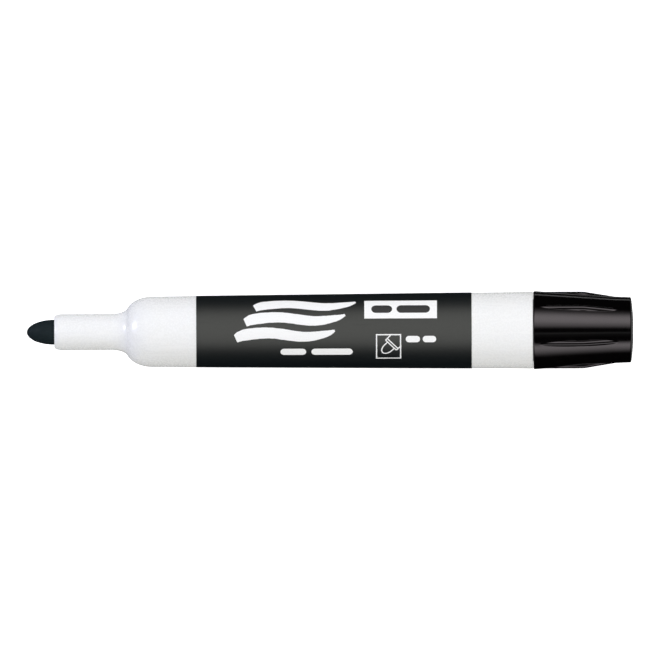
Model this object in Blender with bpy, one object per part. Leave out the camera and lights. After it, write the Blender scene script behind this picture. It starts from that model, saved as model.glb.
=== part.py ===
"""Whiteboard marker with a bullet nib, lying on a surface with its cap posted on the rear end.

The marker's axis runs along X, from the nib at -X to the cap at +X, and the origin is under the
middle of its length, on the surface. Turned pieces are drawn in millimetres as (station, radius):
the station is the distance from the nib's tip along the axis.
"""

from math import atan2, cos, pi, radians, sin

import bmesh
import bpy
from mathutils import Matrix

MM = 0.001
FACETS = 48  # flats round each turned piece; one of them faces straight down
FACET_ANGLE = 2 * pi / FACETS
GAP = 0.3  # between pieces that touch on the real marker

# Nib: a fibre rod with an elliptical end
NIB_EXPOSED = 6.3
NIB_RADIUS = 2.85
NIB_LENGTH = 32.5

# Barrel, outside
NECK_RADIUS = 4.14
NOSE_FACE_RADIUS = 3.42
NECK_START = 8.16
FLARE_START = 19.9
FLARE_HANDLES = ((21.3, NECK_RADIUS), (22.6, 4.7))  # of the hollow curve from the neck to the shoulder
SHOULDER_END = 28.9
SHOULDER_DEPTH = 6.1  # along the axis
SHOULDER_FOOT_ANGLE = 12.6  # degrees round its quarter ellipse, where the flare meets it
BODY_RADIUS_FRONT = 8.1  # at the shoulder's end
BODY_RADIUS_REAR = 8.82
BARREL_END = 116.2
EDGE_BREAK = 0.15  # small chamfer on moulded edges

# Barrel, inside
NIB_BORE_RADIUS = NIB_RADIUS + 0.27
GUIDE_BORE_RADIUS = 3.45
GUIDE_RIBS = 6
GUIDE_START = 8.6
GUIDE_END = 24.6
BORE_LEAD = 0.3
FUNNEL_KNEE = (25.6, 5.6)  # between the guide bore and the chamber
CHAMBER_START = 27.4
CHAMBER_RADIUS_FRONT = 6.95
CHAMBER_RADIUS_REAR = 7.35
PLUG_SEAT = 104.0

# Label
LABEL_START = 38.85
LABEL_END = 102.3
LABEL_END_AIR = 0.1
LABEL_PROUD = 0.05
LABEL_RECESS = 0.35
LABEL_AIR = 0.2  # between the recess and the film

# Ink store
STORE_START = 27.9
STORE_END = 104.0
STORE_RADIUS = 6.2
STORE_CHAMFER = 0.3
FIBRE_CHAMFER = 0.3  # on the nib's inner end
POCKET_RADIUS = NIB_RADIUS + GAP
WRAP_AIR = 0.25
WRAP_THICKNESS = 0.17
WRAP_INSET = 0.5

# Rear plug
PLUG_START = STORE_END + 2 * GAP
PLUG_RADIUS = CHAMBER_RADIUS_REAR - GAP
STUB_RADIUS = 7.5
STUB_END = 122.9
STUB_ROUND = 0.6
PLUG_WALL = 1.2

# Cap
CAP_START = BARREL_END + GAP
CAP_EDGE = 138.6
CAP_CROWN_RADIUS = 7.1
CAP_CROWN_START = 139.0
CAP_END = 139.4
CAP_FLAT_RADIUS = 3.0
CAP_RADIUS_RIM = 9.02
CAP_COLLAR_START = 134.8  # the cone gives way to a collar that tapers less
CAP_RADIUS_COLLAR = 7.66
CAP_RADIUS_EDGE = 7.52
CAP_FLOOR = 138.4
CAP_MOUTH_RADIUS = STUB_RADIUS + GAP
CAP_STEP = 123.6
CAP_STEP_LENGTH = 0.6
CAP_BORE_RADIUS = 7.2
CAP_FLOOR_RADIUS = 6.45

# Grip ribs on the cap: round bars sunk into its cone
RIBS = 6
RIB_TURN = radians(38)  # the first crest, from straight up towards +Y
RIB_RADIUS = 0.7
RIB_CREST = 8.9  # the level crest's distance from the axis
RIB_START = 118.0  # just inside the cone, which is as wide as the crest here
RIB_KINK = 128.0
RIB_END = 135.7
RIB_REACH = 78  # degrees of the bar's round on each side of its crest
RIB_STEPS = 3  # facets on each side of the crest

# Cap liner
LINER_MOUTH = 124.2
LINER_FLOOR = 137.5
LINER_END = CAP_FLOOR - GAP
LINER_RADIUS = 4.35
LINER_WALL = 0.85
LINER_LEAD = 0.25  # how far the mouth flares
LINER_LEAD_LENGTH = 0.6
LINER_FLANGE_RADIUS = 6.15
LINER_FLANGE_START = 136.9

MIDDLE = CAP_END / 2
AXIS_HEIGHT = CAP_RADIUS_RIM * cos(FACET_ANGLE / 2)  # the rim's lowest flat lies on the surface


def clear_scene():
    for thing in list(bpy.data.objects):
        bpy.data.objects.remove(thing)


def material(name, colour, roughness):
    made = bpy.data.materials.new(name)
    made.use_nodes = True
    shader = made.node_tree.nodes["Principled BSDF"]
    shader.inputs["Base Color"].default_value = (*colour, 1.0)
    shader.inputs["Roughness"].default_value = roughness
    shader.inputs["Metallic"].default_value = 0.0
    return made


def axis_empty(name, station):
    """An empty on the marker's axis at a station, with its Z along the marker towards the cap."""
    empty = bpy.data.objects.new(name, None)
    bpy.context.collection.objects.link(empty)
    empty.location = ((station - MIDDLE) * MM, 0, AXIS_HEIGHT * MM)
    empty.rotation_euler = (0, pi / 2, 0)
    empty["station"] = station
    return empty


def add_object(name, bm, parent, finish):
    mesh = bpy.data.meshes.new(name)
    bm.to_mesh(mesh)
    bm.free()
    mesh.shade_smooth()
    mesh.set_sharp_from_angle(angle=radians(25))
    mesh.materials.append(finish)
    piece = bpy.data.objects.new(name, mesh)
    bpy.context.collection.objects.link(piece)
    piece.parent = parent
    return piece


def turned(outline, origin):
    """A bmesh turned from an outline of (station, radius). Its ends lie on the axis, or it is a ring."""
    bm = bmesh.new()
    profile = [bm.verts.new((radius * MM, 0, (station - origin) * MM)) for station, radius in outline]
    edges = [bm.edges.new(pair) for pair in zip(profile, profile[1:])]
    if outline[0][1] > 0:
        edges.append(bm.edges.new((profile[-1], profile[0])))
    bmesh.ops.rotate(bm, verts=profile, matrix=Matrix.Rotation(FACET_ANGLE / 2, 3, "Z"))
    bmesh.ops.spin(
        bm, geom=profile + edges, axis=(0, 0, 1), cent=(0, 0, 0), angle=2 * pi, steps=FACETS, use_merge=True
    )
    bmesh.ops.remove_doubles(bm, verts=bm.verts, dist=0.002 * MM)
    bmesh.ops.recalc_face_normals(bm, faces=bm.faces)
    return bm


def blend(start, end, share):
    return start + (end - start) * share


def body_radius(station):
    """The barrel's outer radius behind the shoulder, which widens evenly towards the rear."""
    share = (station - SHOULDER_END) / (BARREL_END - SHOULDER_END)
    return blend(BODY_RADIUS_FRONT, BODY_RADIUS_REAR, share)


def chamber_radius(station):
    share = (station - CHAMBER_START) / (BARREL_END - CHAMBER_START)
    return blend(CHAMBER_RADIUS_FRONT, CHAMBER_RADIUS_REAR, share)


def cap_radius(station):
    """The cap's outer radius without its ribs: a cone, then the collar at its closed end."""
    if station < CAP_COLLAR_START:
        share = (station - CAP_START) / (CAP_COLLAR_START - CAP_START)
        return blend(CAP_RADIUS_RIM, CAP_RADIUS_COLLAR, share)
    share = (station - CAP_COLLAR_START) / (CAP_EDGE - CAP_COLLAR_START)
    return blend(CAP_RADIUS_COLLAR, CAP_RADIUS_EDGE, share)


def quarter_ellipse(centre_station, centre_radius, depth, height, first, last, steps):
    """Points on a quarter ellipse that rises towards +X, from one angle to another in degrees."""
    angles = [radians(blend(first, last, step / steps)) for step in range(steps + 1)]
    return [(centre_station - depth * cos(a), centre_radius + height * sin(a)) for a in angles]


def cubic(points, steps):
    """Points on a cubic Bezier curve, without its two ends."""
    made = []
    for step in range(1, steps):
        t = step / steps
        weights = ((1 - t) ** 3, 3 * t * (1 - t) ** 2, 3 * t * t * (1 - t), t**3)
        made.append(tuple(sum(w * p[i] for w, p in zip(weights, points)) for i in range(2)))
    return made


def barrel(parent, finish):
    nose = quarter_ellipse(
        NECK_START, NOSE_FACE_RADIUS, NECK_START - NIB_EXPOSED, NECK_RADIUS - NOSE_FACE_RADIUS, 0, 90, 4
    )
    rise = BODY_RADIUS_FRONT - NECK_RADIUS
    shoulder = quarter_ellipse(
        SHOULDER_END, NECK_RADIUS, SHOULDER_DEPTH, rise, SHOULDER_FOOT_ANGLE, 90, 8
    )
    flare_start = (FLARE_START, NECK_RADIUS)
    flare = cubic([flare_start, *FLARE_HANDLES, shoulder[0]], 4)
    outside = [
        *nose,
        flare_start,
        *flare,
        *shoulder,
        (LABEL_START, body_radius(LABEL_START)),
        (LABEL_START, body_radius(LABEL_START) - LABEL_RECESS),
        (LABEL_END, body_radius(LABEL_END) - LABEL_RECESS),
        (LABEL_END, body_radius(LABEL_END)),
        (BARREL_END - EDGE_BREAK, BODY_RADIUS_REAR),
        (BARREL_END, BODY_RADIUS_REAR - EDGE_BREAK),
    ]
    inside = [
        (BARREL_END, CHAMBER_RADIUS_REAR),
        (PLUG_SEAT, CHAMBER_RADIUS_REAR),
        (PLUG_SEAT, chamber_radius(PLUG_SEAT)),
        (CHAMBER_START, CHAMBER_RADIUS_FRONT),
        FUNNEL_KNEE,
        (GUIDE_END, GUIDE_BORE_RADIUS),
        (GUIDE_START, GUIDE_BORE_RADIUS),
        (GUIDE_START - BORE_LEAD, NIB_BORE_RADIUS),
        (NIB_EXPOSED, NIB_BORE_RADIUS),
    ]
    bm = turned(outside + inside, parent["station"])
    add_guide_ribs(bm)
    return add_object("barrel", bm, parent, finish)


def add_guide_ribs(bm):
    """Narrow ribs along the guide bore grip the nib, with air channels between them."""
    corners_between = FACETS // GUIDE_RIBS
    for vert in bm.verts:
        if abs(vert.co.xy.length / MM - GUIDE_BORE_RADIUS) > 0.01:
            continue
        corner = round(atan2(vert.co.y, vert.co.x) / FACET_ANGLE - 0.5)
        if corner % corners_between in (0, corners_between - 1):
            vert.co.xy *= NIB_BORE_RADIUS / GUIDE_BORE_RADIUS


def label_sleeve(parent, finish):
    inner = LABEL_AIR - LABEL_RECESS
    ends = (LABEL_START + LABEL_END_AIR, LABEL_END - LABEL_END_AIR)
    outline = [(ends[0], body_radius(ends[0]) + LABEL_PROUD), (ends[1], body_radius(ends[1]) + LABEL_PROUD)]
    outline += [(ends[1], body_radius(ends[1]) + inner), (ends[0], body_radius(ends[0]) + inner)]
    return add_object("label_sleeve", turned(outline, parent["station"]), parent, finish)


def nib(parent, finish):
    point = quarter_ellipse(NIB_EXPOSED, 0, NIB_EXPOSED, NIB_RADIUS, 0, 90, 8)
    outline = [
        *point,
        (NIB_LENGTH - FIBRE_CHAMFER, NIB_RADIUS),
        (NIB_LENGTH, NIB_RADIUS - FIBRE_CHAMFER),
        (NIB_LENGTH, 0),
    ]
    return add_object("nib", turned(outline, parent["station"]), parent, finish)


def ink_reservoir(parent, finish):
    pocket_end = NIB_LENGTH + GAP
    outline = [
        (pocket_end, 0),
        (pocket_end, POCKET_RADIUS),
        (STORE_START, POCKET_RADIUS),
        (STORE_START, STORE_RADIUS - STORE_CHAMFER),
        (STORE_START + STORE_CHAMFER, STORE_RADIUS),
        (STORE_END - STORE_CHAMFER, STORE_RADIUS),
        (STORE_END, STORE_RADIUS - STORE_CHAMFER),
        (STORE_END, 0),
    ]
    return add_object("ink_reservoir", turned(outline, parent["station"]), parent, finish)


def reservoir_wrap(parent, finish):
    inner = STORE_RADIUS + WRAP_AIR
    start = STORE_START + WRAP_INSET
    end = STORE_END - WRAP_INSET
    outline = [(start, inner + WRAP_THICKNESS), (end, inner + WRAP_THICKNESS), (end, inner), (start, inner)]
    return add_object("reservoir_wrap", turned(outline, parent["station"]), parent, finish)


def rear_plug(parent, finish):
    """A press-fit cup that closes the barrel, open towards the ink store, with the stub behind it."""
    outline = [
        (STUB_END - PLUG_WALL, 0),
        (STUB_END - PLUG_WALL, PLUG_RADIUS - PLUG_WALL),
        (PLUG_START, PLUG_RADIUS - PLUG_WALL),
        (PLUG_START, PLUG_RADIUS - 2 * EDGE_BREAK),
        (PLUG_START + 4 * EDGE_BREAK, PLUG_RADIUS),
        (CAP_START, PLUG_RADIUS),
        (CAP_START, STUB_RADIUS),
        (STUB_END - STUB_ROUND, STUB_RADIUS),
        (STUB_END, STUB_RADIUS - STUB_ROUND),
        (STUB_END, 0),
    ]
    return add_object("rear_plug", turned(outline, parent["station"]), parent, finish)


def rib_solid(origin, turn):
    """A bar with a round top and a flat underside. It runs level, then falls to the collar.

    The cone rises through the round top towards the bar's two ends, so that what shows is a leaf.
    """
    crest = ((RIB_START, RIB_CREST), (RIB_KINK, RIB_CREST), (RIB_END, cap_radius(RIB_END)))
    angles = [radians(RIB_REACH * step / RIB_STEPS) for step in range(-RIB_STEPS, RIB_STEPS + 1)]
    bm = bmesh.new()
    rows = []
    for station, height in crest:
        across = [(RIB_RADIUS * sin(a), height - RIB_RADIUS * (1 - cos(a))) for a in angles]
        rows.append([bm.verts.new((up * MM, side * MM, (station - origin) * MM)) for side, up in across])
    for near, far in zip(rows, rows[1:]):
        for i in range(len(near)):
            j = (i + 1) % len(near)
            bm.faces.new((near[i], near[j], far[j], far[i]))
    bm.faces.new(rows[0])
    bm.faces.new(rows[-1])
    bmesh.ops.recalc_face_normals(bm, faces=bm.faces)
    bmesh.ops.rotate(bm, verts=bm.verts, matrix=Matrix.Rotation(turn, 3, "Z"))
    return bm


def cap_shell(parent, finish):
    outline = [
        (CAP_END, 0),
        (CAP_END, CAP_FLAT_RADIUS),
        (CAP_CROWN_START, CAP_CROWN_RADIUS),
        (CAP_EDGE, CAP_RADIUS_EDGE),
        (CAP_COLLAR_START, CAP_RADIUS_COLLAR),
        (CAP_START + EDGE_BREAK, CAP_RADIUS_RIM),
        (CAP_START, CAP_RADIUS_RIM - EDGE_BREAK),
        (CAP_START, CAP_MOUTH_RADIUS + EDGE_BREAK),
        (CAP_START + 2 * EDGE_BREAK, CAP_MOUTH_RADIUS),
        (CAP_STEP, CAP_MOUTH_RADIUS),
        (CAP_STEP + CAP_STEP_LENGTH, CAP_BORE_RADIUS),
        (CAP_FLOOR, CAP_FLOOR_RADIUS),
        (CAP_FLOOR, 0),
    ]
    shell = add_object("cap_shell", turned(outline, parent["station"]), parent, finish)
    for number in range(RIBS):
        # In the cap's frame, +X points down and +Y stays +Y.
        turn = pi - RIB_TURN - number * 2 * pi / RIBS
        rib = add_object(f"rib_guide_{number + 1}", rib_solid(parent["station"], turn), parent, finish)
        rib.hide_render = True
        rib.display_type = "WIRE"
        join = shell.modifiers.new(f"rib_{number + 1}", "BOOLEAN")
        join.operation = "UNION"
        join.solver = "EXACT"
        join.object = rib
    return shell


def cap_liner(parent, finish):
    tube = LINER_RADIUS + LINER_WALL
    outline = [
        (LINER_END, 0),
        (LINER_END, LINER_FLANGE_RADIUS),
        (LINER_FLANGE_START, LINER_FLANGE_RADIUS),
        (LINER_FLANGE_START, tube),
        (LINER_MOUTH, tube - EDGE_BREAK),
        (LINER_MOUTH, LINER_RADIUS + LINER_LEAD),
        (LINER_MOUTH + LINER_LEAD_LENGTH, LINER_RADIUS),
        (LINER_FLOOR, LINER_RADIUS),
        (LINER_FLOOR, 0),
    ]
    return add_object("cap_liner", turned(outline, parent["station"]), parent, finish)


def main():
    clear_scene()
    marker_axis = axis_empty("marker_axis", MIDDLE)
    cap_axis = axis_empty("cap_axis", CAP_START)

    barrel(marker_axis, material("white_moulding", (0.86, 0.87, 0.88), 0.35))
    label_sleeve(marker_axis, material("black_film", (0.012, 0.014, 0.015), 0.4))
    nib(marker_axis, material("inked_fibre", (0.012, 0.018, 0.02), 0.7))
    ink_reservoir(marker_axis, material("store_fibre", (0.03, 0.03, 0.035), 0.9))
    reservoir_wrap(marker_axis, material("clear_film", (0.75, 0.78, 0.8), 0.25))
    rear_plug(marker_axis, material("plug_moulding", (0.015, 0.015, 0.016), 0.45))
    cap_shell(cap_axis, material("cap_moulding", (0.008, 0.008, 0.009), 0.2))
    cap_liner(cap_axis, material("liner_moulding", (0.7, 0.71, 0.7), 0.4))


main()
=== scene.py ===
"""The looks of a whiteboard marker with its cap posted, seen from straight above its printed face.

Outlines are in millimetres: (station, radius), the station counted along the marker from the nib's
tip. Angles round the marker are counted from straight up, positive towards +Y. Print is laid out
flat as (station, lift), the lift counted round the sleeve from the middle of the printed face.
"""

from math import acos, cos, hypot, pi, radians, sin, sqrt, tan

import bmesh
import bpy
from mathutils import Matrix, Vector, noise


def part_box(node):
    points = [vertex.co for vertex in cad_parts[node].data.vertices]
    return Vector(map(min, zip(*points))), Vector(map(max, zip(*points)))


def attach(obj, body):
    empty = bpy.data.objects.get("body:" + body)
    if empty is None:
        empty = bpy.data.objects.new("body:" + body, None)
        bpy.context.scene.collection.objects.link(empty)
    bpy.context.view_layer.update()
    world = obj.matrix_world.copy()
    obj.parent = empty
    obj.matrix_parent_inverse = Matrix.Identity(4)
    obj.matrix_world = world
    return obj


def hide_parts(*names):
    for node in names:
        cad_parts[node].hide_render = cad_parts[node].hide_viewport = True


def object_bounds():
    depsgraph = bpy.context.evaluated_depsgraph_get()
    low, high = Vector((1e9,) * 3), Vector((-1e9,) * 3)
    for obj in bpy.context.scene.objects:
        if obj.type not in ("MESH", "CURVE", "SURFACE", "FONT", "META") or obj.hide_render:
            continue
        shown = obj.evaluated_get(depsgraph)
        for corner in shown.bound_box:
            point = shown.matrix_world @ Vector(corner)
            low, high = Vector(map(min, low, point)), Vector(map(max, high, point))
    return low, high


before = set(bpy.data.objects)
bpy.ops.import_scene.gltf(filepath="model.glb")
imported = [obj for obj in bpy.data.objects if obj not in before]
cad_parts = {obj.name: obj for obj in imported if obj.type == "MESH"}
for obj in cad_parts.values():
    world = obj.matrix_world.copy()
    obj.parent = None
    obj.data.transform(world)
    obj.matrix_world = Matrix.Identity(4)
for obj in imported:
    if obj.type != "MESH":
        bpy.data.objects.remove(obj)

cad_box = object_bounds()
MM = 0.001
NIB_TIP = cad_box[0][0]
BARREL_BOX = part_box("barrel")
AXIS_HEIGHT = (BARREL_BOX[0][2] + BARREL_BOX[1][2]) / 2
COLUMNS = 192  # round each turned piece

# Stations and radii shared by several pieces, in millimetres
NIB_EXPOSED = 6.3
NIB_RADIUS = 2.87
NECK_RADIUS = 4.14
NOSE_FACE_RADIUS = 3.42
NECK_START = 8.16
SHOULDER_END = 28.9
BODY_FRONT = 8.1
BODY_REAR = 8.82
BARREL_END = 116.37
LABEL_START = 38.92
LABEL_END = 102.28
LABEL_PROUD = 0.05
CAP_START = 116.43
CAP_COLLAR = 134.8
CAP_EDGE = 138.75
CAP_END = 139.4
CAP_RIM = 9.02
CAP_COLLAR_RADIUS = 7.66
CAP_EDGE_RADIUS = 7.52
RIBS = 6
RIB_TURN = radians(38)
RIB_RADIUS = 0.7
RIB_CREST = 8.9
RIB_KINK = 128.0
RIB_END = 135.7


# ---------------------------------------------------------------- outlines


def mix(start, end, share):
    return start + (end - start) * share


def body_radius(station):
    return mix(BODY_FRONT, BODY_REAR, (station - SHOULDER_END) / (BARREL_END - SHOULDER_END))


def cap_radius(station):
    """The cap without its ribs: a cone, then a collar that tapers less."""
    if station < CAP_COLLAR:
        return mix(CAP_RIM, CAP_COLLAR_RADIUS, (station - CAP_START) / (CAP_COLLAR - CAP_START))
    return mix(CAP_COLLAR_RADIUS, CAP_EDGE_RADIUS, (station - CAP_COLLAR) / (CAP_EDGE - CAP_COLLAR))


def ellipse_arc(centre, depth, height, first, last, steps):
    """A rising quarter of an ellipse between two angles in degrees."""
    angles = [radians(mix(first, last, step / steps)) for step in range(steps + 1)]
    return [(centre[0] - depth * cos(a), centre[1] + height * sin(a)) for a in angles]


def cubic(points, steps):
    """Points along a cubic Bezier curve, without its two ends."""
    made = []
    for step in range(1, steps):
        t = step / steps
        weights = ((1 - t) ** 3, 3 * t * (1 - t) ** 2, 3 * t * t * (1 - t), t**3)
        made.append(tuple(sum(w * p[i] for w, p in zip(weights, points)) for i in range(2)))
    return made


def rounded(corners, steps=5):
    """An outline through (station, radius) points; a third number rounds that corner to its radius."""
    made = []
    for number, corner in enumerate(corners):
        if len(corner) == 2:
            made.append(tuple(corner))
            continue
        point = Vector(corner[:2])
        back = Vector(corners[number - 1][:2]) - point
        ahead = Vector(corners[(number + 1) % len(corners)][:2]) - point
        half = back.angle(ahead) / 2
        longest = 0.48 * min(back.length, ahead.length)
        reach = min(corner[2] / (sin(half) / cos(half)), longest)
        radius = reach * sin(half) / cos(half)
        centre = point + (back.normalized() + ahead.normalized()).normalized() * (radius / sin(half))
        start = point + back.normalized() * reach - centre
        swing = start.angle_signed(point + ahead.normalized() * reach - centre)
        for step in range(steps + 1):
            turned_arm = Matrix.Rotation(-swing * step / steps, 2) @ start
            made.append(tuple(centre + turned_arm))
    return made


def refined(outline, longest):
    """The same outline with extra points, so that no straight run is longer than a limit."""
    made = [outline[0]]
    for near, far in zip(outline, outline[1:]):
        runs = max(1, int(hypot(far[0] - near[0], far[1] - near[1]) / longest + 0.999))
        made += [(mix(near[0], far[0], i / runs), mix(near[1], far[1], i / runs)) for i in range(1, runs + 1)]
    return made


# ---------------------------------------------------------------- meshes


def place(station, radius, angle):
    """A point in the world from its station, its radius and its angle from straight up."""
    return Vector(
        (NIB_TIP + station * MM, radius * MM * sin(angle), AXIS_HEIGHT + radius * MM * cos(angle))
    )


def add_piece(name, verts, faces, material, sharp=40):
    """A smooth-shaded mesh object; edges that turn more than sharp degrees stay crisp."""
    mesh = bpy.data.meshes.new(name)
    mesh.from_pydata(verts, [], faces)
    bm = bmesh.new()
    bm.from_mesh(mesh)
    bmesh.ops.remove_doubles(bm, verts=bm.verts, dist=0.0002 * MM)
    bmesh.ops.recalc_face_normals(bm, faces=bm.faces)
    bm.to_mesh(mesh)
    bm.free()
    mesh.shade_smooth()
    mesh.set_sharp_from_angle(angle=radians(sharp))
    mesh.materials.append(material)
    piece = bpy.data.objects.new(name, mesh)
    bpy.context.scene.collection.objects.link(piece)
    return piece


def ring_faces(rows, columns, closed):
    """Quads between neighbouring rings of vertices, and back to the first ring if closed."""
    faces = []
    for row in range(rows if closed else rows - 1):
        below, above = row * columns, (row + 1) % rows * columns
        for column in range(columns):
            beside = (column + 1) % columns
            faces.append((below + column, below + beside, above + beside, above + column))
    return faces


def turned(name, outline, material, relief=None, columns=COLUMNS, sharp=40):
    """A piece turned from an outline. relief(station, radius, angle) gives a changed radius."""
    verts = []
    for station, radius in outline:
        for column in range(columns):
            angle = 2 * pi * column / columns
            reach = relief(station, radius, angle) if relief and radius > 0 else radius
            verts.append(place(station, reach, angle))
    closed = outline[0][1] > 0
    return add_piece(name, verts, ring_faces(len(outline), columns, closed), material, sharp)


# ---------------------------------------------------------------- materials


class Finish:
    """A procedural material round one Principled shader, in object coordinates (metres)."""

    def __init__(self, name, colour, roughness, **sockets):
        self.material = bpy.data.materials.new(name)
        self.material.use_nodes = True
        self.nodes = self.material.node_tree.nodes
        self.links = self.material.node_tree.links
        self.shader = self.nodes["Principled BSDF"]
        self.shader.inputs["Base Color"].default_value = (*colour, 1)
        self.shader.inputs["Roughness"].default_value = roughness
        for socket, value in sockets.items():
            self.shader.inputs[socket.replace("_", " ")].default_value = value
        self.coordinates = self.nodes.new("ShaderNodeTexCoord").outputs["Object"]

    def noise(self, scale, detail=3, stretch=(1, 1, 1), rough=0.55):
        """Noise with features of about 1/scale metres, stretched per axis."""
        mapping = self.nodes.new("ShaderNodeMapping")
        mapping.inputs["Scale"].default_value = stretch
        self.links.new(self.coordinates, mapping.inputs["Vector"])
        texture = self.nodes.new("ShaderNodeTexNoise")
        texture.inputs["Scale"].default_value = scale
        texture.inputs["Detail"].default_value = detail
        texture.inputs["Roughness"].default_value = rough
        self.links.new(mapping.outputs[0], texture.inputs["Vector"])
        return texture.outputs["Fac"]

    def remap(self, value, low, high, to_low, to_high):
        """A value's range stretched linearly onto another, and held at its ends."""
        node = self.nodes.new("ShaderNodeMapRange")
        for socket, number in zip(("From Min", "From Max", "To Min", "To Max"), (low, high, to_low, to_high)):
            node.inputs[socket].default_value = number
        self.links.new(value, node.inputs["Value"])
        return node.outputs["Result"]

    def add(self, first, second):
        node = self.nodes.new("ShaderNodeMath")
        node.operation = "ADD"
        self.links.new(first, node.inputs[0])
        self.links.new(second, node.inputs[1])
        return node.outputs[0]

    def blend(self, share, first, second):
        """Two colours, mixed by a value from the texture."""
        node = self.nodes.new("ShaderNodeMix")
        node.data_type = "RGBA"
        colours = [socket for socket in node.inputs if socket.type == "RGBA"]
        colours[0].default_value = (*first, 1)
        colours[1].default_value = (*second, 1)
        self.links.new(share, node.inputs["Factor"])
        return [socket for socket in node.outputs if socket.type == "RGBA"][0]

    def colour_from(self, output):
        self.links.new(output, self.shader.inputs["Base Color"])

    def roughness_from(self, output):
        self.links.new(output, self.shader.inputs["Roughness"])

    def bump_from(self, height, strength, distance):
        bump = self.nodes.new("ShaderNodeBump")
        bump.inputs["Strength"].default_value = strength
        bump.inputs["Distance"].default_value = distance
        self.links.new(height, bump.inputs["Height"])
        self.links.new(bump.outputs["Normal"], self.shader.inputs["Normal"])


def white_moulding():
    """White polypropylene: soft gloss, faint grain, slight handling scuffs along the barrel."""
    made = Finish(
        "white_moulding", (0.86, 0.86, 0.86), 0.27, Subsurface_Weight=0.12, Subsurface_Scale=0.0012
    )
    made.shader.inputs["Subsurface Radius"].default_value = (1.0, 0.9, 0.8)
    tone = made.remap(made.noise(55, 2), 0.35, 0.65, 0, 1)
    made.colour_from(made.blend(tone, (0.865, 0.868, 0.87), (0.86, 0.862, 0.858)))
    grain = made.noise(2600, 4)
    scuffs = made.remap(made.noise(900, 5, (0.12, 1, 1), 0.65), 0.56, 0.74, 0, 0.16)
    made.roughness_from(made.add(made.remap(grain, 0.3, 0.7, 0.23, 0.31), scuffs))
    made.bump_from(grain, 0.12, 0.00004)
    return made.material


def black_film():
    """Satin film: one broad highlight, fine print grain and hairline rub marks."""
    made = Finish("black_film", (0.0015, 0.002, 0.0025), 0.5, Specular_IOR_Level=1.0)
    grain = made.noise(3200, 4)
    rubs = made.remap(made.noise(1500, 4, (0.05, 1, 1), 0.6), 0.6, 0.75, 0, 0.08)
    made.roughness_from(made.add(made.remap(grain, 0.3, 0.7, 0.46, 0.53), rubs))
    made.colour_from(made.blend(made.noise(90, 3), (0.0006, 0.0026, 0.0044), (0.0018, 0.004, 0.0058)))
    made.bump_from(made.add(grain, made.noise(300, 2)), 0.1, 0.00003)
    return made.material


def white_ink():
    """Opaque printed ink, a little uneven in cover."""
    made = Finish("white_ink", (0.94, 0.94, 0.94), 0.45)
    cover = made.remap(made.noise(4200, 4), 0.3, 0.46, 0, 1)
    made.colour_from(made.blend(cover, (0.88, 0.88, 0.88), (0.95, 0.95, 0.95)))
    made.roughness_from(made.remap(made.noise(3000, 3), 0.3, 0.7, 0.4, 0.5))
    made.bump_from(made.noise(5000, 3), 0.15, 0.00002)
    return made.material


def dark_ink():
    """The ink of the two bars on the white panel."""
    made = Finish("dark_ink", (0.02, 0.02, 0.021), 0.5)
    made.colour_from(made.blend(made.noise(4200, 4), (0.014, 0.014, 0.015), (0.03, 0.03, 0.031)))
    made.roughness_from(made.remap(made.noise(3000, 3), 0.3, 0.7, 0.42, 0.55))
    return made.material


def inked_fibre():
    """Bonded fibre soaked in ink: strands along the nib, damp and dry patches."""
    made = Finish("inked_fibre", (0.006, 0.013, 0.016), 0.65, Specular_IOR_Level=0.12)
    strands = made.noise(5200, 4, (0.12, 1, 1), 0.7)
    patches = made.noise(700, 3)
    made.colour_from(made.blend(strands, (0.002, 0.006, 0.008), (0.014, 0.024, 0.028)))
    damp = made.remap(patches, 0.35, 0.65, -0.1, 0.1)
    made.roughness_from(made.add(made.remap(strands, 0.3, 0.7, 0.52, 0.75), damp))
    made.bump_from(strands, 0.6, 0.00012)
    return made.material


def cap_gloss():
    """Glossy black polypropylene with faint turning lines, smudges and wear."""
    made = Finish("cap_gloss", (0.0008, 0.0007, 0.0008), 0.12)
    lines = made.noise(2200, 3, (1, 0.04, 0.04), 0.5)
    smudge = made.remap(made.noise(260, 4), 0.5, 0.72, 0, 0.06)
    specks = made.remap(made.noise(2600, 2), 0.68, 0.76, 0, 0.1)
    base = made.remap(lines, 0.3, 0.7, 0.09, 0.13)
    made.roughness_from(made.add(made.add(base, smudge), specks))
    made.colour_from(made.blend(made.noise(400, 3), (0.0006, 0.0006, 0.0007), (0.0016, 0.0013, 0.0014)))
    made.bump_from(made.add(lines, made.noise(240, 2)), 0.06, 0.00004)
    return made.material


def plug_satin():
    """Black polypropylene, satin, with moulding grain."""
    made = Finish("plug_satin", (0.012, 0.012, 0.013), 0.38)
    grain = made.noise(2200, 4)
    made.colour_from(made.blend(made.noise(500, 3), (0.009, 0.009, 0.01), (0.017, 0.017, 0.018)))
    made.roughness_from(made.remap(grain, 0.3, 0.7, 0.32, 0.46))
    made.bump_from(grain, 0.15, 0.00005)
    return made.material


def liner_moulding():
    """Undyed polypropylene, milky and satin."""
    made = Finish("liner_moulding", (0.68, 0.69, 0.68), 0.42, Subsurface_Weight=0.2, Subsurface_Scale=0.001)
    grain = made.noise(1800, 4)
    made.colour_from(made.blend(made.noise(300, 3), (0.64, 0.65, 0.64), (0.72, 0.73, 0.72)))
    made.roughness_from(made.remap(grain, 0.3, 0.7, 0.36, 0.5))
    made.bump_from(grain, 0.12, 0.00005)
    return made.material


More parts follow.
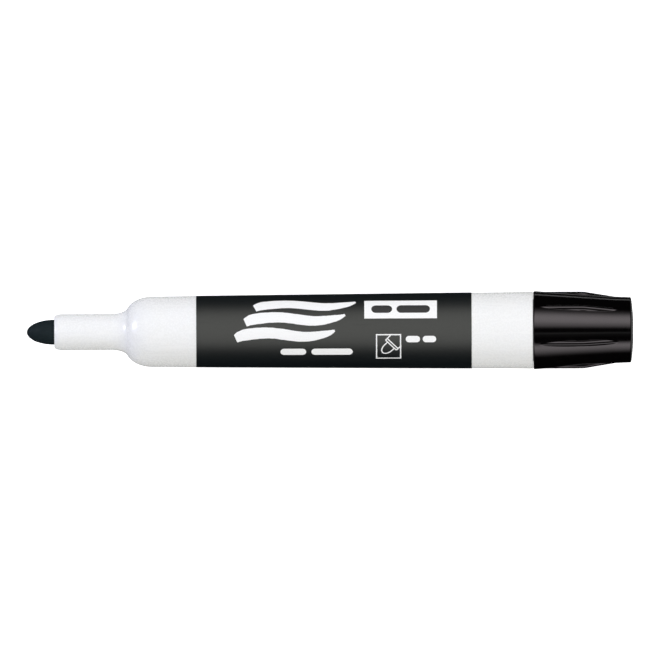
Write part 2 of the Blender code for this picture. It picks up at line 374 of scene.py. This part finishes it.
def store_fibre():
    """The reservoir's loose fibres, dark with ink, along the marker."""
    made = Finish("store_fibre", (0.03, 0.03, 0.035), 0.9)
    strands = made.noise(3500, 5, (0.08, 1, 1), 0.7)
    made.colour_from(made.blend(strands, (0.012, 0.013, 0.016), (0.06, 0.06, 0.065)))
    made.roughness_from(made.remap(strands, 0.3, 0.7, 0.8, 0.95))
    made.bump_from(strands, 0.8, 0.0003)
    return made.material


def clear_wrap():
    """Thin film with fine creases."""
    made = Finish("clear_wrap", (0.75, 0.78, 0.8), 0.25, Alpha=0.6)
    creases = made.noise(420, 4, (0.3, 1, 1), 0.6)
    made.colour_from(made.blend(creases, (0.7, 0.73, 0.75), (0.8, 0.83, 0.85)))
    made.roughness_from(made.remap(creases, 0.3, 0.7, 0.18, 0.34))
    made.bump_from(creases, 0.3, 0.0001)
    return made.material


def floor_paint():
    made = Finish("floor_paint", (0.9, 0.9, 0.9), 0.8, Emission_Color=(1, 1, 1, 1), Emission_Strength=0.8)
    made.colour_from(made.blend(made.noise(20, 2), (0.89, 0.89, 0.89), (0.91, 0.91, 0.91)))
    return made.material


# ---------------------------------------------------------------- barrel, nib and plug


def barrel_outline():
    """Nose, neck, hollow flare, round shoulder, tapered body, open end, and back along the bore."""
    nose_length, nose_rise = NECK_START - NIB_EXPOSED, NECK_RADIUS - NOSE_FACE_RADIUS
    nose = ellipse_arc((NECK_START, NOSE_FACE_RADIUS), nose_length, nose_rise, 0, 90, 14)
    shoulder_length, shoulder_foot = 6.1, 20
    shoulder = ellipse_arc(
        (SHOULDER_END, NECK_RADIUS), shoulder_length, BODY_FRONT - NECK_RADIUS, shoulder_foot, 90, 40
    )
    flare_start = (19.4, NECK_RADIUS)
    flare = cubic([flare_start, (21.2, NECK_RADIUS), (22.718, 4.691), shoulder[0]], 24)
    chamber = 7.35
    tail = rounded(
        [
            (114.0, body_radius(114.0)),
            (BARREL_END, BODY_REAR, 0.22),
            (BARREL_END, chamber, 0.1),
            (104.0, chamber),
        ]
    )
    outside = refined([*nose, flare_start], 0.8) + flare + refined([*shoulder, *tail[:1]], 1.5)
    inside = [(27.4, 6.95), (25.6, 5.6), (24.6, 3.45), (8.6, 3.45), (8.3, 2.94), (6.42, 2.94), (6.3, 3.0)]
    return outside + tail[1:] + inside


def make_barrel(material):
    return turned("barrel_body", barrel_outline(), material)


def fibre_relief(station, radius, angle):
    """Strands that run along the nib, with a little unevenness where the tip has been used."""
    round_nib = Vector((cos(angle), sin(angle), 0))
    strand = noise.noise(round_nib * 22 + Vector((0, 0, station * 0.35)))
    fine = noise.noise(round_nib * 60 + Vector((5, 0, station * 0.9)))
    wear = noise.noise(Vector((station * 1.1, radius * cos(angle), radius * sin(angle))) * 1.3)
    return radius + min(1, radius) * (0.02 * strand + 0.012 * fine) + 0.02 * wear * min(1, radius)


def make_nib(material):
    """A bullet point on a plain rod, whose inner end has a small chamfer."""
    point = ellipse_arc((NIB_EXPOSED, 0), NIB_EXPOSED, NIB_RADIUS, 0, 90, 60)
    rod = [(NIB_EXPOSED + 1.5, NIB_RADIUS), (32.2, NIB_RADIUS), (32.5, NIB_RADIUS - 0.3), (32.5, 0)]
    return turned("nib_tip", [*point, *rod], material, fibre_relief, 256, 70)


def make_plug(material):
    """A cup in the barrel's end; its stub stands out, with a low bead that the cap snaps over."""
    outline = rounded(
        [
            (121.5, 0),
            (121.5, 5.8),
            (104.6, 5.8, 0.2),
            (104.6, 7.1, 0.4),
            (116.7, 7.1),
            (116.7, 7.45, 0.05),
            (118.6, 7.45),
            (119.1, 7.62, 0.3),
            (119.6, 7.45),
            (122.8, 7.4, 0.6),
            (122.8, 4.2, 0.15),
            (122.3, 3.9, 0.15),
            (122.3, 0.7, 0.1),
            (122.45, 0.5, 0.1),
            (122.45, 0),
        ]
    )
    return turned("plug_stub", refined(outline, 1.5), material)


# ---------------------------------------------------------------- cap


def rib_crest(station):
    """The crest runs level from the rim, then falls to the collar, with a soft bend between."""
    slope = (RIB_CREST - cap_radius(RIB_END)) / (RIB_END - RIB_KINK)
    past = station - RIB_KINK
    softness = 0.3
    return RIB_CREST - slope * 0.5 * (past + sqrt(past * past + softness * softness))


def rib_edge(station):
    """How far round from its crest a rib's round top meets the cone."""
    middle, cone = rib_crest(station) - RIB_RADIUS, cap_radius(station)
    share = (cone * cone + middle * middle - RIB_RADIUS**2) / (2 * cone * middle)
    narrowest = radians(1.2)
    return max(narrowest, acos(min(1.0, share)))


def cap_reach(station, cone, off_crest):
    """The cap's outer radius at an angle off the nearest rib's crest, with a small fillet."""
    middle = rib_crest(station) - RIB_RADIUS
    aside = middle * sin(off_crest)
    if abs(aside) >= RIB_RADIUS:
        return cone
    bar = middle * cos(off_crest) + sqrt(RIB_RADIUS**2 - aside * aside)
    fillet = 0.02
    closeness = max(0.0, fillet - abs(bar - cone))
    return max(bar, cone) + closeness * closeness / (4 * fillet)


# Where the cap's columns stand: shares of a rib's edge angle, then of the plain rest of its sector
RIB_SHARES = (0.0, 0.08, 0.16, 0.26, 0.38, 0.5, 0.62, 0.74, 0.84, 0.92, 0.98, 1.04, 1.12)
PLAIN_SHARES = (0.08, 0.18, 0.32, 0.5, 0.68, 0.86)


def sector_angles(edge):
    """Angles over one rib's sixth of the cap, closest together over the rib."""
    half = pi / RIBS
    one_side = [edge * share for share in RIB_SHARES]
    one_side += [mix(one_side[-1], half, share) for share in PLAIN_SHARES]
    return [-angle for angle in reversed(one_side[1:])] + one_side + [half]


GRIP_RIBS = 12
GRIP_START, GRIP_END = 117.6, 123.4
GRIP_WALL = 7.87  # wider than the mouth's wall, narrower than the skin


def grip_rib(radius, angle):
    """Low ribs inside the cap's mouth that grip the plug's stub."""
    return radius - 0.12 * max(0.0, cos(angle * GRIP_RIBS) - 0.8) / 0.2


def make_cap(material):
    """One skin from the floor of the bore out over the rim, along the ribs and over the closed end.

    The stations of the ribbed part are close together where the ribs bend."""
    skin = refined([(CAP_START + 0.5, 0), (RIB_KINK - 1, 0)], 0.4)
    skin += refined([(RIB_KINK - 1, 0), (RIB_KINK + 1, 0)], 0.1)[1:]
    skin += refined([(RIB_KINK + 1, 0), (138.3, 0)], 0.3)[1:]
    rim = rounded([(CAP_START, 7.9), (CAP_START, CAP_RIM, 0.42), (120.0, cap_radius(120.0))], 7)[1:-1]
    edge_corner = (CAP_EDGE + 0.15, CAP_EDGE_RADIUS, 0.3)
    crown = rounded([(137.0, cap_radius(137.0)), edge_corner, (CAP_END, 3.0)], 7)[1:-1]
    rise, crown_radius, flat = 0.5, 7.3, 2.6
    for r in (7.0, 6.4, 5.6, 4.8, 4.0, 3.2):
        crown.append((CAP_END - rise * (r * r - flat * flat) / crown_radius**2, r))
    gate = CAP_END - 0.12
    centre = rounded([(CAP_END, flat), (CAP_END, 0.62, 0.05), (gate, 0.5, 0.05), (gate, 0)])
    inside = rounded(
        [
            (138.4, 0),
            (138.4, 6.4, 0.4),
            (124.2, 7.2, 0.1),
            (123.6, 7.8, 0.2),
            (CAP_START + 0.4, 7.85),
            (CAP_START, 8.15, 0.1),
            (CAP_START, 8.4),
        ]
    )
    rows = [(station, radius, False) for station, radius in refined(inside, 1.0) + rim]
    rows += [(station, cap_radius(station), True) for station, _ in skin]
    rows += [(station, radius, False) for station, radius in crown + centre]
    verts = []
    for station, radius, ribbed in rows:
        for sector in range(RIBS):
            for off in sector_angles(rib_edge(station))[:-1]:
                angle = RIB_TURN + sector * 2 * pi / RIBS + off
                reach = cap_reach(station, radius, off) if ribbed else radius
                if GRIP_START < station < GRIP_END and radius < GRIP_WALL:
                    reach = grip_rib(radius, angle)
                verts.append(place(station, reach, angle))
    faces = ring_faces(len(rows), len(verts) // len(rows), False)
    return add_piece("cap_skin", verts, faces, material, 55)


def make_liner(material):
    """A seal cup with a flange on the cap's floor and a low bead inside its mouth."""
    outline = rounded(
        [
            (138.1, 0),
            (138.1, 6.15, 0.15),
            (136.9, 6.15, 0.15),
            (136.9, 5.2, 0.3),
            (124.2, 5.05, 0.2),
            (124.2, 4.6, 0.15),
            (125.0, 4.35),
            (126.2, 4.35),
            (126.6, 4.2, 0.25),
            (127.0, 4.35),
            (137.5, 4.35, 0.4),
            (137.5, 0),
        ]
    )
    return turned("liner_cup", refined(outline, 1.0), material)


# ---------------------------------------------------------------- sleeve and print


def label_radius(station):
    return body_radius(station) + LABEL_PROUD


SEAM_ANGLE = radians(172)
OVERLAP = radians(14)


def sleeve_relief(station, radius, angle):
    """The film overlaps itself in one straight seam at the back."""
    past_seam = (angle - SEAM_ANGLE) % (2 * pi)
    if radius < body_radius(station) + 0.05 or past_seam > OVERLAP:
        return radius
    return radius + 0.045 * min(1, past_seam / radians(0.8))


def make_sleeve(material):
    first, last = LABEL_START + 0.02, LABEL_END - 0.02
    outline = rounded(
        [
            (first, label_radius(first), 0.04),
            (last, label_radius(last), 0.04),
            (last, body_radius(last) + 0.012),
            (first, body_radius(first) + 0.012),
        ],
        3,
    )
    outline = refined([*outline, outline[0]], 2.0)[:-1]
    return turned("film_sleeve", outline, material, sleeve_relief, 360, 50)


def on_label(station, lift, height):
    """A flat print position (mm, mm) wrapped round the sleeve, at a height above the film."""
    radius = label_radius(station)
    return place(station, radius + height, lift / radius)


def printed(name, sheets, material, height=0.02):
    """Print as thin solid patches; each sheet is a grid of flat positions, row by row."""
    verts, faces = [], []
    for sheet in sheets:
        rows, columns = len(sheet), len(sheet[0])
        top = len(verts)
        verts += [on_label(*spot, height) for row in sheet for spot in row]
        under = len(verts)
        verts += [on_label(*spot, -0.02) for row in sheet for spot in row]
        for r in range(rows - 1):
            for c in range(columns - 1):
                here, beyond = r * columns + c, (r + 1) * columns + c
                quad = (here, here + 1, beyond + 1, beyond)
                faces.append(tuple(top + i for i in quad))
                faces.append(tuple(under + i for i in reversed(quad)))
        rim = [c for c in range(columns)]
        rim += [r * columns + columns - 1 for r in range(1, rows)]
        rim += [(rows - 1) * columns + c for c in range(columns - 2, -1, -1)]
        rim += [r * columns for r in range(rows - 2, 0, -1)]
        for here, there in zip(rim, rim[1:] + rim[:1]):
            faces.append((top + there, top + here, under + here, under + there))
    return add_piece(name, verts, faces, material, 30)


def bar(start, end, low, high):
    """A rectangle of print."""
    rows = max(2, int((end - start) / 0.4))
    columns = 8
    stations = [mix(start, end, row / rows) for row in range(rows + 1)]
    return [[(station, mix(low, high, c / columns)) for c in range(columns + 1)] for station in stations]


def round_bar(start, end, low, high):
    """A bar with half-round ends, with extra rows where the ends curve."""
    half, middle = (high - low) / 2, (low + high) / 2
    tip = 0.02 * half
    turns = [half * (1 - cos(pi / 2 * i / 6)) for i in range(1, 7)]
    stations = [start + t for t in (tip, *turns)] + [end - t for t in (*reversed(turns), tip)]
    sheet = []
    for station in stations:
        near = min(station - start, end - station, half)
        reach = sqrt(max(0.0, half**2 - (half - near) ** 2))
        sheet.append([(station, middle + reach * (c / 4 - 1)) for c in range(9)])
    return sheet


def smooth_path(points, steps):
    """A Catmull-Rom curve through given points (station, lift, width)."""

    def between(a, b, c, d, t):
        square = (2 * a - 5 * b + 4 * c - d) * t * t
        return 0.5 * (2 * b + (c - a) * t + square + (3 * b - a - 3 * c + d) * t**3)

    ends = [points[0], *points, points[-1]]
    made = []
    for spots in zip(ends, ends[1:], ends[2:], ends[3:]):
        for step in range(steps):
            made.append(tuple(between(*values, step / steps) for values in zip(*spots)))
    return [*made, points[-1]]


def stroke(points, steps=10, across=6, ragged=0.0):
    """A brush stroke along a smooth path, its width taken from the path's points."""
    path = smooth_path(points, steps)
    sheet = []
    for number, (station, lift, width) in enumerate(path):
        before, after = path[max(0, number - 1)], path[min(len(path) - 1, number + 1)]
        along = Vector((after[0] - before[0], after[1] - before[1])).normalized()
        normal = Vector((-along.y, along.x))
        fray = ragged * noise.noise(Vector((number * 0.35, 3.1, station))) if ragged else 0
        row = []
        for c in range(across + 1):
            offset = (c / across - 0.5) * (width + fray)
            row.append((station + normal.x * offset, lift + normal.y * offset))
        sheet.append(row)
    return sheet


def brush_marks():
    """Three slanting strokes of a marker, one under another, as a plain picture of writing."""
    marks = []
    for start, end, lift in ((52.4, 75.6, 6.6), (50.2, 73.2, 2.9), (48.0, 70.8, -0.8)):
        marks.append(
            [
                (start, lift - 0.9, 1.9),
                (mix(start, end, 0.1), lift, 2.6),
                (mix(start, end, 0.35), lift + 0.4, 2.5),
                (mix(start, end, 0.68), lift - 0.5, 2.3),
                (mix(start, end, 0.9), lift + 0.1, 1.6),
                (end, lift + 0.9, 0.5),
            ]
        )
    return marks


def icon_frame():
    """A square outline."""
    left, right, low, high, line = 80.25, 86.05, -7.15, -0.75, 0.28
    return [
        bar(left, right, high - line, high),
        bar(left, right, low, low + line),
        bar(left, left + line, low + line, high - line),
        bar(right - line, right, low + line, high - line),
    ]


def icon_nib():
    """A bullet nib and the nose that holds it, in outline, pointing down to the left."""
    centre = Vector((83.35, -3.75))
    tilt = Matrix.Rotation(radians(45), 2)

    def line(*points):
        return stroke([(*(centre + tilt @ Vector(point)), 0.26) for point in points], 6, 2)

    bend = [radians(90 + 15 * step) for step in range(13)]
    tip = [(1.7 * cos(a) - 0.5, 1.1 * sin(a)) for a in bend]
    bullet = [(0.5, 1.1), (-0.1, 1.1), *tip, (-0.1, -1.1), (0.5, -1.1)]
    nose = [line((at, 1.75), (at, 0), (at, -1.75)) for at in (0.5, 1.05)]
    sides = [line((0.5, side), (1.3, side), (2.1, side)) for side in (1.75, -1.75)]
    return [line(*bullet), *nose, *sides]


# ---------------------------------------------------------------- stage


def make_floor(material):
    """A plain floor that touches both the sleeve's front edge and the cap's rim."""
    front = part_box("label_sleeve")
    touch = NIB_TIP + CAP_START * MM
    rise = front[0][2] / (touch - front[0][0])
    size = 3.0
    mesh = bpy.data.meshes.new("floor")
    sides = ((-size, -size), (size, -size), (size, size), (-size, size))
    mesh.from_pydata([(x, y, (touch - x) * rise) for x, y in sides], [], [(0, 1, 2, 3)])
    mesh.materials.append(material)
    floor = bpy.data.objects.new("floor", mesh)
    bpy.context.scene.collection.objects.link(floor)
    floor.visible_glossy = False
    floor.visible_diffuse = False
    floor.visible_shadow = False


def direction_at(angle):
    """Seen from the marker, at degrees from straight up towards +Y, square to its length."""
    return Vector((0, sin(radians(angle)), cos(radians(angle))))


def add_light(name, direction, distance, length, width, radiance, colour=(1, 1, 1)):
    """An even area light that faces the marker."""
    data = bpy.data.lights.new(name, "AREA")
    data.shape = "RECTANGLE"
    data.size = length
    data.size_y = width
    data.energy = radiance * pi * length * width
    data.color = colour
    light = bpy.data.objects.new(name, data)
    bpy.context.scene.collection.objects.link(light)
    light.location = Vector((0, 0, AXIS_HEIGHT)) + distance * direction.normalized()
    light.rotation_euler = direction.to_track_quat("Z", "Y").to_euler()
    light.visible_camera = False
    return light


def strip_light(name, profile, radiance, colour=(1, 1, 1)):
    """A long light parallel to the marker. The profile gives its brightness by angle, in degrees
    from straight up towards +Y: a glossy surface shows it as one band."""
    distance, length = 0.7, 1.6
    middle = (profile[0][0] + profile[-1][0]) / 2
    width = 2 * distance * tan(radians(profile[-1][0] - middle))
    light = add_light(name, direction_at(middle), distance, length, width, radiance, colour)
    light.rotation_euler = (-radians(middle), 0, 0)
    light.data.use_nodes = True
    nodes, links = light.data.node_tree.nodes, light.data.node_tree.links
    split = nodes.new("ShaderNodeSeparateXYZ")
    ramp = nodes.new("ShaderNodeValToRGB")
    links.new(nodes.new("ShaderNodeNewGeometry").outputs["Parametric"], split.inputs[0])
    links.new(split.outputs["Y"], ramp.inputs["Fac"])
    links.new(ramp.outputs["Color"], nodes["Emission"].inputs["Color"])
    stops = ramp.color_ramp.elements
    for number, (angle, strength) in enumerate(profile):
        across = 0.5 + distance * tan(radians(angle - middle)) / width
        stop = stops[number] if number < 2 else stops.new(across)  # a new ramp has two stops
        stop.position = across
        stop.color = (strength, strength, strength, 1)
    return light


def link_light(light, state, pieces):
    """The light reaches only these pieces (INCLUDE), or all but these (EXCLUDE)."""
    group = bpy.data.collections.new(light.name + "_link")
    light.light_linking.receiver_collection = group
    for number, piece in enumerate(pieces):
        group.objects.link(piece)
        group.collection_objects[number].light_linking.link_state = state


# Each strip's brightness: (angle in degrees from straight up towards +Y, share of its radiance)
UPPER_BAND = (
    (4, 0), (8.4, 0.08), (11.5, 0.27), (14.6, 0.47), (18, 0.6), (24, 0.88), (30, 0.95), (36, 1),
    (42, 0.93), (47, 0.76), (51, 0.56), (55, 0.34), (60, 0.16), (66, 0.05), (72, 0),
)
LOWER_BAND = (
    (-90, 0), (-85, 0.03), (-80, 0.13), (-74, 0.33), (-69, 0.55), (-63, 0.78), (-55, 1), (-51, 0.9),
    (-46.5, 0.55), (-43, 0.4), (-40, 0.14), (-37.5, 0),
)
SEAM = ((-23, 0), (-18, 0.18), (-13, 0.25), (-11, 1), (-8.5, 0.95), (-6.5, 0))
RIM_LINE = ((129, 0), (131, 1), (133, 1), (135, 0))
RIM_EDGE = ((151, 0), (153.5, 1), (156.5, 1), (159, 0))
FILM_BAND = ((-56, 0), (-38, 1), (60, 1), (76, 0))
ROOM_BAND = ((-70, 0), (-50, 1), (71, 1), (86, 0))


TOWARDS_NIB = Vector((-0.876, 0.276, 0.398))


def make_lights(barrel, sleeve, cap):
    """The glossy cap shows two bands and some fine lines; the satin sleeve has one even light of
    its own; a wide one lights the rest. In front, a soft fill lights the barrel, a cool light the
    nib's end, and a small bright one makes the spark on the shoulder."""
    on_cap = [
        strip_light("upper_band", UPPER_BAND, 3.0, (1.0, 0.915, 0.95)),
        strip_light("lower_band", LOWER_BAND, 2.65, (1.0, 0.915, 0.95)),
        strip_light("seam", SEAM, 0.26),
        strip_light("rim_line", RIM_LINE, 0.9),
        strip_light("rim_edge", RIM_EDGE, 0.25),
        add_light("end_glow", Vector((0.35, 0, -0.94)), 0.7, 0.5, 0.5, 0.15),
    ]
    for light in on_cap:
        link_light(light, "INCLUDE", [cap])
    fill = add_light("nose_fill", Vector((-0.9, 0.1, 0.42)), 0.8, 0.5, 0.5, 1.0, (0.95, 0.95, 1.0))
    fill.visible_glossy = False
    link_light(fill, "INCLUDE", [barrel])
    link_light(strip_light("film_band", FILM_BAND, 1.16, (1.0, 0.995, 0.93)), "INCLUDE", [sleeve])
    room = strip_light("room_band", ROOM_BAND, 1.105, (1.0, 0.998, 0.98))
    room.location.x = 0.3  # the barrel is a little brighter near the cap
    nose_light = add_light("nose_light", TOWARDS_NIB, 0.8, 0.45, 0.2, 4.7, (0.5, 0.57, 1.0))
    spark = add_light("nose_spark", TOWARDS_NIB, 0.8, 0.15, 0.13, 36.0)
    spark.visible_diffuse = False
    for light in (room, nose_light, spark):
        link_light(light, "EXCLUDE", [sleeve, cap])


def make_world():
    """White to the camera; to the marker a pale room, with light coming back up from the table."""
    world = bpy.data.worlds.new("studio")
    world.use_nodes = True
    nodes, links = world.node_tree.nodes, world.node_tree.links
    background = nodes["Background"]
    split = nodes.new("ShaderNodeSeparateXYZ")
    links.new(nodes.new("ShaderNodeTexCoord").outputs["Generated"], split.inputs[0])
    from_below, from_above, to_camera = 1.03, 0.2, 1.1
    room = nodes.new("ShaderNodeMapRange")
    for socket, value in zip(
        ("From Min", "From Max", "To Min", "To Max"), (-0.1, 0.1, from_below, from_above)
    ):
        room.inputs[socket].default_value = value
    links.new(split.outputs["Z"], room.inputs["Value"])
    seen = nodes.new("ShaderNodeMapRange")
    links.new(nodes.new("ShaderNodeLightPath").outputs["Is Camera Ray"], seen.inputs["Value"])
    links.new(room.outputs["Result"], seen.inputs["To Min"])
    seen.inputs["To Max"].default_value = to_camera
    links.new(seen.outputs["Result"], background.inputs["Strength"])
    background.inputs["Color"].default_value = (1.0, 1.0, 0.975, 1)
    bpy.context.scene.world = world
    world.cycles_visibility.glossy = False


VIEW_WIDTH = 151.72  # millimetres across the picture
ROLL = radians(-0.24)


def make_camera():
    """Straight down on the printed face, the nib to the left, the marker a hair off level."""
    data = bpy.data.cameras.new("camera")
    data.type = "ORTHO"
    data.ortho_scale = VIEW_WIDTH * MM
    data.clip_start, data.clip_end = 0.01, 10
    camera = bpy.data.objects.new("camera", data)
    bpy.context.scene.collection.objects.link(camera)
    camera.location = (0, 0.24 * MM, 1.0)
    camera.rotation_euler = (0, 0, ROLL)
    bpy.context.scene.camera = camera


def main():
    barrel = make_barrel(white_moulding())
    nib = make_nib(inked_fibre())
    plug = make_plug(plug_satin())
    sleeve = make_sleeve(black_film())
    cap = make_cap(cap_gloss())
    liner = make_liner(liner_moulding())
    for piece, body, node, slot in (
        (barrel, "marker_body", "barrel", "barrel_plastic"),
        (nib, "marker_body", "nib", "nib_fibre"),
        (plug, "marker_body", "rear_plug", "plug_plastic"),
        (sleeve, "marker_body", "label_sleeve", "label_film"),
        (cap, "cap", "cap_shell", "cap_plastic"),
        (liner, "cap_core", "cap_liner", "liner_plastic"),
    ):
        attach(piece, body)
        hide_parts(node)

    ink = white_ink()
    strokes = [stroke(mark, 14, 6, 0.12) for mark in brush_marks()]
    dashes = [round_bar(58.3, 64.2, -5.9, -4.2), round_bar(65.4, 74.9, -5.9, -4.2)]
    captions = [round_bar(87.1, 90.4, -2.7, -1.2), round_bar(91.0, 94.1, -2.7, -1.2)]
    panel_bars = [round_bar(79.2, 84.0, 4.3, 6.4), round_bar(85.0, 92.7, 4.3, 6.4)]
    prints = [
        (printed("print_strokes", strokes, ink), "label_print"),
        (printed("print_dashes", dashes, ink), "label_print"),
        (printed("print_panel", [bar(77.6, 94.3, 2.9, 8.0)], ink), "label_print"),
        (printed("print_icon", icon_frame() + icon_nib(), ink), "label_print"),
        (printed("print_caption", captions, ink), "label_print"),
        (printed("print_panel_bars", panel_bars, dark_ink(), 0.035), "label_film"),
    ]
    for piece, slot in prints:
        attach(piece, "marker_body")

    for node, material in (("ink_reservoir", store_fibre()), ("reservoir_wrap", clear_wrap())):
        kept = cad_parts[node]
        kept.data.materials.clear()
        kept.data.materials.append(material)

    make_floor(floor_paint())
    make_lights(barrel, sleeve, cap)
    make_world()
    make_camera()
    bpy.context.scene.view_settings.view_transform = "Standard"


main()
